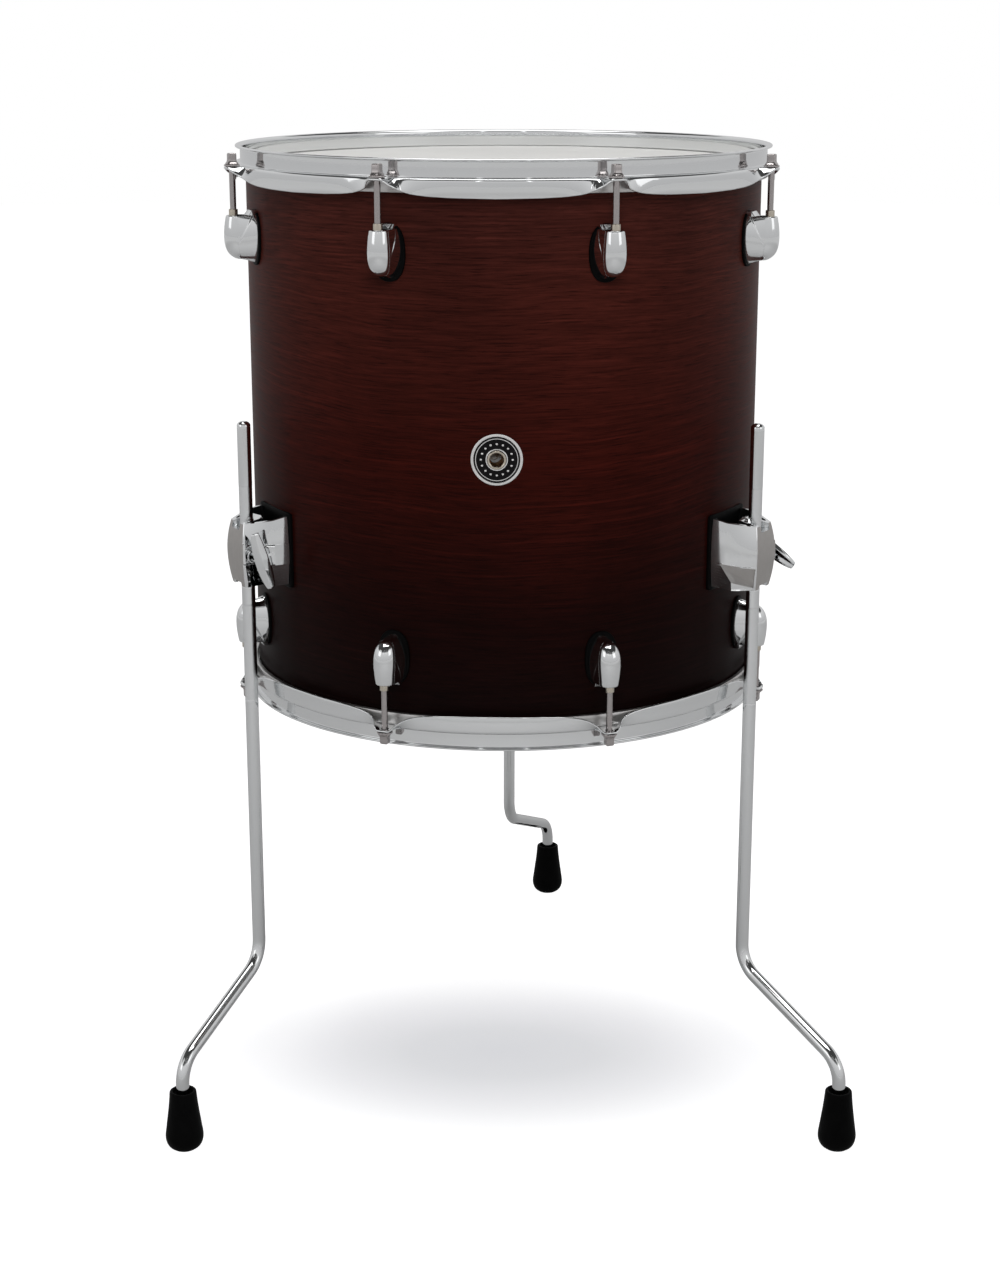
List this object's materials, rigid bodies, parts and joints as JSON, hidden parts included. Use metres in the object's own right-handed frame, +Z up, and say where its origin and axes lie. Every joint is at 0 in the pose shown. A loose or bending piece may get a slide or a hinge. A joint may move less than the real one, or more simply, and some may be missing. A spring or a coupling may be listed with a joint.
{
  "type": "floor tom",
  "caption": "Deep wooden floor tom with flanged metal hoops, bullet lugs, a vented badge and three bent legs clamped in cast brackets by wing nuts.",
  "frame": {"origin": "on the floor, under the middle of the whole object's bounding box", "axes": "+Z up along the drum's axis; -Y is the front, with the vent badge; +X is to the right when the drum is seen from the front"},
  "size_m": [0.5444, 0.5846, 0.7639],
  "materials": {
    "stained_shell": "dark red-brown stain under satin lacquer, grain running round the shell",
    "chrome": "polished chrome plate",
    "rod_steel": "dull plated steel",
    "aluminium": "plain rolled",
    "frosted_film": "white coated polyester film",
    "clear_film": "thin clear polyester film",
    "black_rubber": "satin black rubber",
    "badge_metal": "satin metal disc with plain rings",
    "nickel": "nickel plate"
  },
  "bodies": {
    "drum": {"shell": "stained_shell", "vent_badge": "badge_metal", "vent_grommet": "nickel", "batter_film": "frosted_film", "batter_flesh_hoop": "aluminium", "resonant_film": "clear_film", "resonant_flesh_hoop": "aluminium", "top_hoop": "chrome", "bottom_hoop": "chrome", "lug_top_1": "chrome", "lug_top_2": "chrome", "lug_top_3": "chrome", "lug_top_4": "chrome", "lug_top_5": "chrome", "lug_top_6": "chrome", "lug_top_7": "chrome", "lug_top_8": "chrome", "lug_bottom_1": "chrome", "lug_bottom_2": "chrome", "lug_bottom_3": "chrome", "lug_bottom_4": "chrome", "lug_bottom_5": "chrome", "lug_bottom_6": "chrome", "lug_bottom_7": "chrome", "lug_bottom_8": "chrome", "leg_bracket_1": "chrome", "leg_bracket_2": "chrome", "leg_bracket_3": "chrome", "bracket_gasket_1": "black_rubber", "bracket_gasket_2": "black_rubber", "bracket_gasket_3": "black_rubber"},
    "top_rod_1": {"tension_rod_top_1": "rod_steel"},
    "top_rod_2": {"tension_rod_top_2": "rod_steel"},
    "top_rod_3": {"tension_rod_top_3": "rod_steel"},
    "top_rod_4": {"tension_rod_top_4": "rod_steel"},
    "top_rod_5": {"tension_rod_top_5": "rod_steel"},
    "top_rod_6": {"tension_rod_top_6": "rod_steel"},
    "top_rod_7": {"tension_rod_top_7": "rod_steel"},
    "top_rod_8": {"tension_rod_top_8": "rod_steel"},
    "bottom_rod_1": {"tension_rod_bottom_1": "rod_steel"},
    "bottom_rod_2": {"tension_rod_bottom_2": "rod_steel"},
    "bottom_rod_3": {"tension_rod_bottom_3": "rod_steel"},
    "bottom_rod_4": {"tension_rod_bottom_4": "rod_steel"},
    "bottom_rod_5": {"tension_rod_bottom_5": "rod_steel"},
    "bottom_rod_6": {"tension_rod_bottom_6": "rod_steel"},
    "bottom_rod_7": {"tension_rod_bottom_7": "rod_steel"},
    "bottom_rod_8": {"tension_rod_bottom_8": "rod_steel"},
    "clamp_nut_1": {"wing_nut_1": "chrome"},
    "clamp_eye_1": {"clamp_eyebolt_1": "rod_steel"},
    "stand_leg_1": {"leg_1": "chrome", "foot_1": "black_rubber"},
    "clamp_nut_2": {"wing_nut_2": "chrome"},
    "clamp_eye_2": {"clamp_eyebolt_2": "rod_steel"},
    "stand_leg_2": {"leg_2": "chrome", "foot_2": "black_rubber"},
    "clamp_nut_3": {"wing_nut_3": "chrome"},
    "clamp_eye_3": {"clamp_eyebolt_3": "rod_steel"},
    "stand_leg_3": {"leg_3": "chrome", "foot_3": "black_rubber"}
  },
  "joints": [
    {"name": "top_rod_1_turn", "type": "hinge", "parent": "drum", "child": "top_rod_1", "pos_m": [0.07347, -0.26298, 0.7491], "axis": [0, 0, 1], "continuous": true},
    {"name": "top_rod_2_turn", "type": "hinge", "parent": "drum", "child": "top_rod_2", "pos_m": [0.19286, -0.14359, 0.7491], "axis": [0, 0, 1], "continuous": true},
    {"name": "top_rod_3_turn", "type": "hinge", "parent": "drum", "child": "top_rod_3", "pos_m": [0.19286, 0.02525, 0.7491], "axis": [0, 0, 1], "continuous": true},
    {"name": "top_rod_4_turn", "type": "hinge", "parent": "drum", "child": "top_rod_4", "pos_m": [0.07347, 0.14464, 0.7491], "axis": [0, 0, 1], "continuous": true},
    {"name": "top_rod_5_turn", "type": "hinge", "parent": "drum", "child": "top_rod_5", "pos_m": [-0.09537, 0.14464, 0.7491], "axis": [0, 0, 1], "continuous": true},
    {"name": "top_rod_6_turn", "type": "hinge", "parent": "drum", "child": "top_rod_6", "pos_m": [-0.21476, 0.02525, 0.7491], "axis": [0, 0, 1], "continuous": true},
    {"name": "top_rod_7_turn", "type": "hinge", "parent": "drum", "child": "top_rod_7", "pos_m": [-0.21476, -0.14359, 0.7491], "axis": [0, 0, 1], "continuous": true},
    {"name": "top_rod_8_turn", "type": "hinge", "parent": "drum", "child": "top_rod_8", "pos_m": [-0.09537, -0.26298, 0.7491], "axis": [0, 0, 1], "continuous": true},
    {"name": "bottom_rod_1_turn", "type": "hinge", "parent": "drum", "child": "bottom_rod_1", "pos_m": [0.07347, -0.26298, 0.3427], "axis": [0, 0, -1], "continuous": true},
    {"name": "bottom_rod_2_turn", "type": "hinge", "parent": "drum", "child": "bottom_rod_2", "pos_m": [0.19286, -0.14359, 0.3427], "axis": [0, 0, -1], "continuous": true},
    {"name": "bottom_rod_3_turn", "type": "hinge", "parent": "drum", "child": "bottom_rod_3", "pos_m": [0.19286, 0.02525, 0.3427], "axis": [0, 0, -1], "continuous": true},
    {"name": "bottom_rod_4_turn", "type": "hinge", "parent": "drum", "child": "bottom_rod_4", "pos_m": [0.07347, 0.14464, 0.3427], "axis": [0, 0, -1], "continuous": true},
    {"name": "bottom_rod_5_turn", "type": "hinge", "parent": "drum", "child": "bottom_rod_5", "pos_m": [-0.09537, 0.14464, 0.3427], "axis": [0, 0, -1], "continuous": true},
    {"name": "bottom_rod_6_turn", "type": "hinge", "parent": "drum", "child": "bottom_rod_6", "pos_m": [-0.21476, 0.02525, 0.3427], "axis": [0, 0, -1], "continuous": true},
    {"name": "bottom_rod_7_turn", "type": "hinge", "parent": "drum", "child": "bottom_rod_7", "pos_m": [-0.21476, -0.14359, 0.3427], "axis": [0, 0, -1], "continuous": true},
    {"name": "bottom_rod_8_turn", "type": "hinge", "parent": "drum", "child": "bottom_rod_8", "pos_m": [-0.09537, -0.26298, 0.3427], "axis": [0, 0, -1], "continuous": true},
    {"name": "wing_nut_1_turn", "type": "hinge", "parent": "drum", "child": "clamp_nut_1", "pos_m": [-0.2078, -0.17282, 0.4572], "axis": [0.5, -0.866, 0], "range_deg": [0, 540]},
    {"name": "eyebolt_1_release", "type": "slide", "parent": "drum", "child": "clamp_eye_1", "axis": [-0.5, 0.866, 0], "range_m": [0, 0.0015]},
    {"name": "leg_1_height", "type": "slide", "parent": "clamp_eye_1", "child": "stand_leg_1", "axis": [0, 0, 1], "range_m": [-0.06, 0.11]},
    {"name": "wing_nut_2_turn", "type": "hinge", "parent": "drum", "child": "clamp_nut_2", "pos_m": [0.1859, -0.17282, 0.4572], "axis": [0.5, 0.866, 0], "range_deg": [0, 540]},
    {"name": "eyebolt_2_release", "type": "slide", "parent": "drum", "child": "clamp_eye_2", "axis": [-0.5, -0.866, 0], "range_m": [0, 0.0015]},
    {"name": "leg_2_height", "type": "slide", "parent": "clamp_eye_2", "child": "stand_leg_2", "axis": [0, 0, 1], "range_m": [-0.06, 0.11]},
    {"name": "wing_nut_3_turn", "type": "hinge", "parent": "drum", "child": "clamp_nut_3", "pos_m": [-0.01095, 0.16813, 0.4572], "axis": [-1, 0, 0], "range_deg": [0, 540]},
    {"name": "eyebolt_3_release", "type": "slide", "parent": "drum", "child": "clamp_eye_3", "axis": [1, 0, 0], "range_m": [0, 0.0015]},
    {"name": "leg_3_height", "type": "slide", "parent": "clamp_eye_3", "child": "stand_leg_3", "axis": [0, 0, 1], "range_m": [-0.06, 0.11]}
  ],
  "couplings": [
    {"joint": "wing_nut_1_turn", "follows": "eyebolt_1_release", "rad_per_m": 6283.2},
    {"joint": "wing_nut_2_turn", "follows": "eyebolt_2_release", "rad_per_m": 6283.2},
    {"joint": "wing_nut_3_turn", "follows": "eyebolt_3_release", "rad_per_m": 6283.2}
  ]
}
